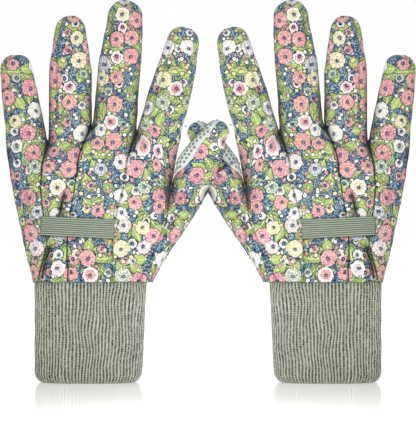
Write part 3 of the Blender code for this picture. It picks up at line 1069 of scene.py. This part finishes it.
def add_cuff(glove, look):
    """The rib knit cuff: down the outside, round the hem and up the inside."""
    half_width, half_depth, centre, _, cad_top = box_sizes("left_knit_cuff")
    base_width = half_width - 1.3
    _, length = squared_ring(base_width, half_depth, 8)
    ribs = round(length / RIB_PITCH)
    count = ribs * RIB_SIDES
    phase = np.arange(count) / RIB_SIDES
    top = cad_top + CUFF_TUCK
    stations = [(top - (top - HEM_ROLL) * r / CUFF_ROWS, 0.0) for r in range(CUFF_ROWS + 1)]
    for a in np.radians([30, 60, 90, 120, 150]):
        stations.append((HEM_ROLL * (1 - math.sin(a)), HEM_ROLL * (1 - math.cos(a))))
    stations += [(between(HEM_ROLL, top - 6, k / 8), 2 * HEM_ROLL) for k in range(9)]
    points, flats = [], []
    travelled, previous = 0.0, stations[0]
    for z, inset in stations:
        travelled += math.hypot(z - previous[0], inset - previous[1])
        previous = (z, inset)
        corner = max(0.0, 1 - z / CUFF_CORNER)
        rounding = CUFF_CORNER * 0.8 * (1 - math.sqrt(1 - corner**2 * 0.9))
        width = base_width + 1.2 * z / top - 0.7 * (1 - z / top) - rounding - inset
        gather = 0.6 * eased((z - (top - 5)) / 5)
        depth = half_depth - 0.7 - inset - gather
        ring, _ = squared_ring(width, depth, count)
        ahead = np.roll(ring, -1, axis=0) - np.roll(ring, 1, axis=0)
        out = np.stack([ahead[:, 1], -ahead[:, 0]], axis=1)
        out /= np.linalg.norm(out, axis=1, keepdims=True)
        sway = np.array([RIB_SWAY * noise.noise(Vector((p / 9, z / 18, 3.0))) for p in phase])
        shape = np.abs(np.cos(math.pi * (phase + sway))) ** 0.7
        swell = RIB_SWELL * np.array([noise.noise(Vector((p / 7, z / 14, 9.0))) for p in phase])
        ring = ring + out * (RIB_DEPTH * (shape - 1) + swell)[:, None]
        lean = CUFF_LEAN * (1 - z / top)
        for (x, y), p, s in zip(ring, phase, sway):
            points.append((centre + x - lean, y, z))
            flats.append((p + s + 0.5, travelled / STITCH_PITCH))
    faces = grid_faces(len(stations), count, flip=True, closed=True)
    obj = put_piece(glove, "knit_cuff_cloth", points, faces, flats, look)
    unwind(obj, ribs)
    join_hand(obj, glove, "knit_cuff")


def unwind(obj, turns):
    """Mends the flat pattern where a tube's last column meets its first."""
    layer = obj.data.uv_layers["flat"].data
    for polygon in obj.data.polygons:
        across = [layer[i].uv[0] for i in polygon.loop_indices]
        if max(across) - min(across) > turns / 2:
            for i in polygon.loop_indices:
                if layer[i].uv[0] < turns / 2:
                    layer[i].uv[0] += turns


def add_wrist_seam(glove, look):
    """The tape inside the wrist that the cuff and the hand are overlocked together with."""
    half_width, half_depth, centre, low, high = box_sizes("left_wrist_seam")
    count, rows, points, flats = 96, 10, [], []
    ring, length = squared_ring(half_width, half_depth, count)
    for z in np.linspace(low, high, rows):
        for k, (x, y) in enumerate(ring):
            points.append((centre + x, y, z))
            flats.append((length * k / count, z))
    faces = grid_faces(rows, count, closed=True)
    obj = put_piece(glove, "wrist_seam_tape", points, faces, flats, look)
    join_hand(obj, glove, "wrist_seam", WALL)


def add_strap(glove, look):
    """The ribbed elastic strap, a closed band over the back panels."""
    (x0, z0), (x1, z1) = STRAP_ENDS
    columns, rows = 60, STRAP_RIBS * 8
    lean = math.atan2(z1 - z0, x1 - x0)
    points, flats = [], []
    for r in range(rows + 1):
        share = r / rows
        up = (share - 0.5) * STRAP_WIDTH
        ridge = 0.32 * abs(math.sin(math.pi * share * STRAP_RIBS)) ** 0.7
        edge = 0.5 * (max(abs(2 * share - 1) - 0.93, 0) / 0.07) ** 2
        for c in range(columns + 1):
            t = c / columns
            x = between(x0, x1, t) - up * math.sin(lean)
            z = between(z0, z1, t) + up * math.cos(lean)
            sag = 0.35 * math.sin(t * 9 + 1) + 0.25 * math.sin(t * 23 + 2)
            ends = 1.2 * max(0.0, 1 - min(t, 1 - t) / 0.04) ** 2
            lift = RELIEF + STRAP_LIFT + 0.35 * sag
            y = -(float(hand_depth(np.array(x), np.array(z))) + lift + ridge - edge - ends)
            points.append((x, y, z))
            flats.append((t * 50.0, share * STRAP_RIBS))
    faces = grid_faces(rows + 1, columns + 1)
    obj = put_piece(glove, "elastic_strap_band", points, faces, flats, look)
    join_hand(obj, glove, "elastic_strap", STRAP_THICKNESS)


THREAD_SIDES = 6
# Along a stitch, at each share of its length: shares of its radius that it's thick, and bows outwards
THREAD = [(0.0, 0.15, -0.6), (0.12, 0.8, 0.1), (0.5, 1.0, 0.9), (0.88, 0.8, 0.1), (1.0, 0.15, -0.6)]
HEM_STITCH, HEM_THREAD = 1.7, 0.24
STRAP_STITCH, STRAP_THREAD = 2.35, 0.26


def add_stitches(glove, name, runs, radius, look):
    """Short lengths of thread, each a thin capsule between two points with a normal it bows out along."""
    points, faces, flats = [], [], []
    for start, end, normal in runs:
        start, end, normal = (np.asarray(v, float) for v in (start, end, normal))
        axis = end - start
        side = np.cross(axis, normal)
        side /= np.linalg.norm(side)
        first = len(points)
        for share, thick, lift in THREAD:
            middle = start + axis * share + normal * lift * radius
            for k in range(THREAD_SIDES):
                angle = math.tau * k / THREAD_SIDES
                points.append(middle + radius * thick * (side * math.cos(angle) + normal * math.sin(angle)))
                flats.append((share * np.linalg.norm(axis), k * 0.3))
        faces += capped_faces(first, len(THREAD), THREAD_SIDES, flip=True)
    obj = put_piece(glove, name, points, faces, flats, look)
    join_hand(obj, glove)



def add_hem_stitches(glove, strips, look):
    """Overlocking round the wrist edge of the cloth: over the back, then back along the palm."""
    back, palm = (np.vstack([pair[half].grid[0][:-1] for pair in strips]) for half in (0, 1))
    line = np.vstack([back, palm[::-1], back[:1]])
    walked = np.concatenate([[0], np.cumsum(np.linalg.norm(np.diff(line, axis=0), axis=1))])
    count = round(walked[-1] / HEM_STITCH)
    centre = line.mean(0)
    runs = []
    for k in range(count):
        at = walked[-1] * (k + 0.5) / count
        x, y, z = (np.interp(at, walked, line[:, i]) for i in range(3))
        out = np.array([(x - centre[0]) * 0.12, y - centre[1], 0.0])
        out /= np.linalg.norm(out)
        tangent = np.cross(out, (0, 0, 1))
        foot = np.array([x, y, z - 0.35]) - out * 0.25
        slant = tangent * (0.5 if k % 2 else -0.3)
        runs.append((foot - slant - (0, 0, 0.4), foot + slant + (0, 0, 0.9), out))
    add_stitches(glove, "hem_stitches", runs, HEM_THREAD, look)


def add_strap_stitches(glove, look):
    """Five stitches at either end of the strap."""
    runs = []
    (x0, z0), (x1, z1) = STRAP_ENDS
    for x, z in ((x0 + 1.3, z0), (x1 - 1.3, z1)):
        for k in range(5):
            low = z + (k - 2.5) * STRAP_STITCH + 0.35
            depth = float(hand_depth(np.array(x), np.array(z))) + RELIEF + 2.25
            runs.append(((x, -depth, low), (x + 0.1, -depth, low + 1.7), (0, -1, 0)))
    add_stitches(glove, "strap_stitches", runs, STRAP_THREAD, look)


def make_looks():
    return {
        "print": print_material(),
        "palm": palm_material(),
        "dots": dot_material(),
        "knit": knit_material(),
        "elastic": elastic_material(),
        "overlock": thread_material("dark_thread", srgb(30, 38, 42), srgb(66, 78, 74)),
        "thread": thread_material("sage_thread", srgb(96, 108, 86), srgb(146, 156, 130)),
        "tape": tape_material(),
    }


def add_glove(glove, strips, looks):
    add_cuff(glove, looks["knit"])
    add_wrist_seam(glove, looks["tape"])
    add_palm(glove, strips, looks)
    for back, palm in strips:
        for strip in (back, palm):
            for part in ("base", "tip"):
                add_strip_piece(glove, strip, part, looks)
    hand = []
    for _, palm in strips:
        for part, (low, high) in palm.cuts.items():
            places = dot_places(palm, low, high)
            if part == "hand":
                taken = np.array([place for place, _, _ in hand]).reshape(-1, 3)
                nearest = [np.linalg.norm(taken - dot[0], axis=1).min(initial=np.inf) for dot in places]
                hand += [dot for dot, gap in zip(places, nearest) if gap > DOT_CLEARANCE]
            else:
                add_dots(glove, palm.name, part, places, looks["dots"])
    add_dots(glove, "palm", "hand", hand, looks["dots"])
    add_strap(glove, looks["elastic"])
    add_hem_stitches(glove, strips, looks["overlock"])
    add_strap_stitches(glove, looks["thread"])


def swap_thumb(back, palm):
    """Moves the right thumb behind the left one: the same shape, shifted towards the palm."""
    for strip in (back, palm):
        for r in range(strip.grid.shape[0]):
            along = strip.along[r]
            shift = hand_shift(min(r / HAND_ROWS, 1.0)) if along is None else thumb_shift("thumb", along)
            strip.grid[r, :, 1] -= 2 * shift


# ---------------------------------------------------------------------------------------------------------
# Camera, floor and lights
# ---------------------------------------------------------------------------------------------------------

VIEW_HEIGHT = 0.1156  # the height that the camera looks at and from
VIEW_TALL = 0.2907  # how much of the upright plane through the gloves the picture's height takes in
VIEW_DISTANCE = 1.2
WHITE = (1.0, 1.0, 1.0, 1.0)
WORLD_LIGHT = 0.26  # as light; where the camera or a glossy reflection sees the world, it's pure white
# Each lamp's place in metres, its power in watts and the width of its disk
LAMPS = {
    "key": ((0.0, -0.5, 0.5), 1.0, 0.2),
    "middle": ((0.0, -0.29, 0.07), 0.48, 0.06),
    "back": ((0.1, 0.7, 0.45), 2.2, 0.4),
    "top": ((0.0, -0.05, 1.0), 2.4, 0.6),
}


def add_camera():
    data = bpy.data.cameras.new("camera")
    data.sensor_width = 36.0
    data.lens = data.sensor_width * VIEW_DISTANCE / VIEW_TALL
    camera = bpy.data.objects.new("camera", data)
    camera.location = (0.0, -VIEW_DISTANCE, VIEW_HEIGHT)
    camera.rotation_euler = (math.pi / 2, 0.0, 0.0)
    bpy.context.scene.collection.objects.link(camera)
    bpy.context.scene.camera = camera


def add_floor():
    """A pale floor that glows a little towards its far edge, where the lamps don't reach."""
    bpy.ops.mesh.primitive_circle_add(vertices=96, radius=6.0, fill_type="NGON", location=(0, 0, -0.0002))
    floor = bpy.context.object
    floor.name = "floor"
    net = Net("floor", 0.1, specular=0.5)
    net.put(net.shader.inputs["Base Color"], (0.93, 0.93, 0.93, 1.0))
    net.put(net.shader.inputs["Emission Color"], WHITE)
    place = net.field("ShaderNodeNewGeometry", {}, {}, "Position")
    away = net.field("ShaderNodeVectorMath", {"operation": "LENGTH"}, {0: place}, "Value")
    ramp = {"Value": away, "From Min": 0.1, "From Max": 0.5, "To Min": 0.25, "To Max": 0.72}
    net.put(net.shader.inputs["Emission Strength"], net.field("ShaderNodeMapRange", {}, ramp))
    floor.data.materials.append(net.material)


def add_lamp(name, place, power, size):
    """A soft lamp that shines at the middle of the gloves."""
    data = bpy.data.lights.new(name, "AREA")
    data.energy = power
    data.shape = "DISK"
    data.size = size
    lamp = bpy.data.objects.new(name, data)
    lamp.location = place
    lamp.visible_camera = False
    towards = Vector((0.0, 0.0, VIEW_HEIGHT)) - Vector(place)
    lamp.rotation_mode = "QUATERNION"
    lamp.rotation_quaternion = towards.to_track_quat("-Z", "Y")
    bpy.context.scene.collection.objects.link(lamp)


def add_light():
    world = bpy.data.worlds.new("studio")
    bpy.context.scene.world = world
    world.use_nodes = True
    nodes, links = world.node_tree.nodes, world.node_tree.links
    path, shown = nodes.new("ShaderNodeLightPath"), nodes.new("ShaderNodeMath")
    shown.operation = "MAXIMUM"
    mix = nodes.new("ShaderNodeMixShader")
    links.new(path.outputs["Is Camera Ray"], shown.inputs[0])
    links.new(path.outputs["Is Glossy Ray"], shown.inputs[1])
    links.new(shown.outputs[0], mix.inputs[0])
    backgrounds = (nodes["Background"], WORLD_LIGHT), (nodes.new("ShaderNodeBackground"), 1.0)
    for i, (background, strength) in enumerate(backgrounds):
        background.inputs["Color"].default_value = WHITE
        background.inputs["Strength"].default_value = strength
        links.new(background.outputs[0], mix.inputs[i + 1])
    links.new(mix.outputs[0], nodes["World Output"].inputs[0])
    for name, lamp in LAMPS.items():
        add_lamp(name, *lamp)


bpy.context.scene.view_settings.view_transform = "Standard"
add_camera()
add_floor()
add_light()
LOOKS = make_looks()
STRIPS = [(Strip(s, True), Strip(s, False)) for s in range(len(NAMES))]
add_glove("left", STRIPS, LOOKS)
swap_thumb(*STRIPS[-1])
add_glove("right", STRIPS, LOOKS)
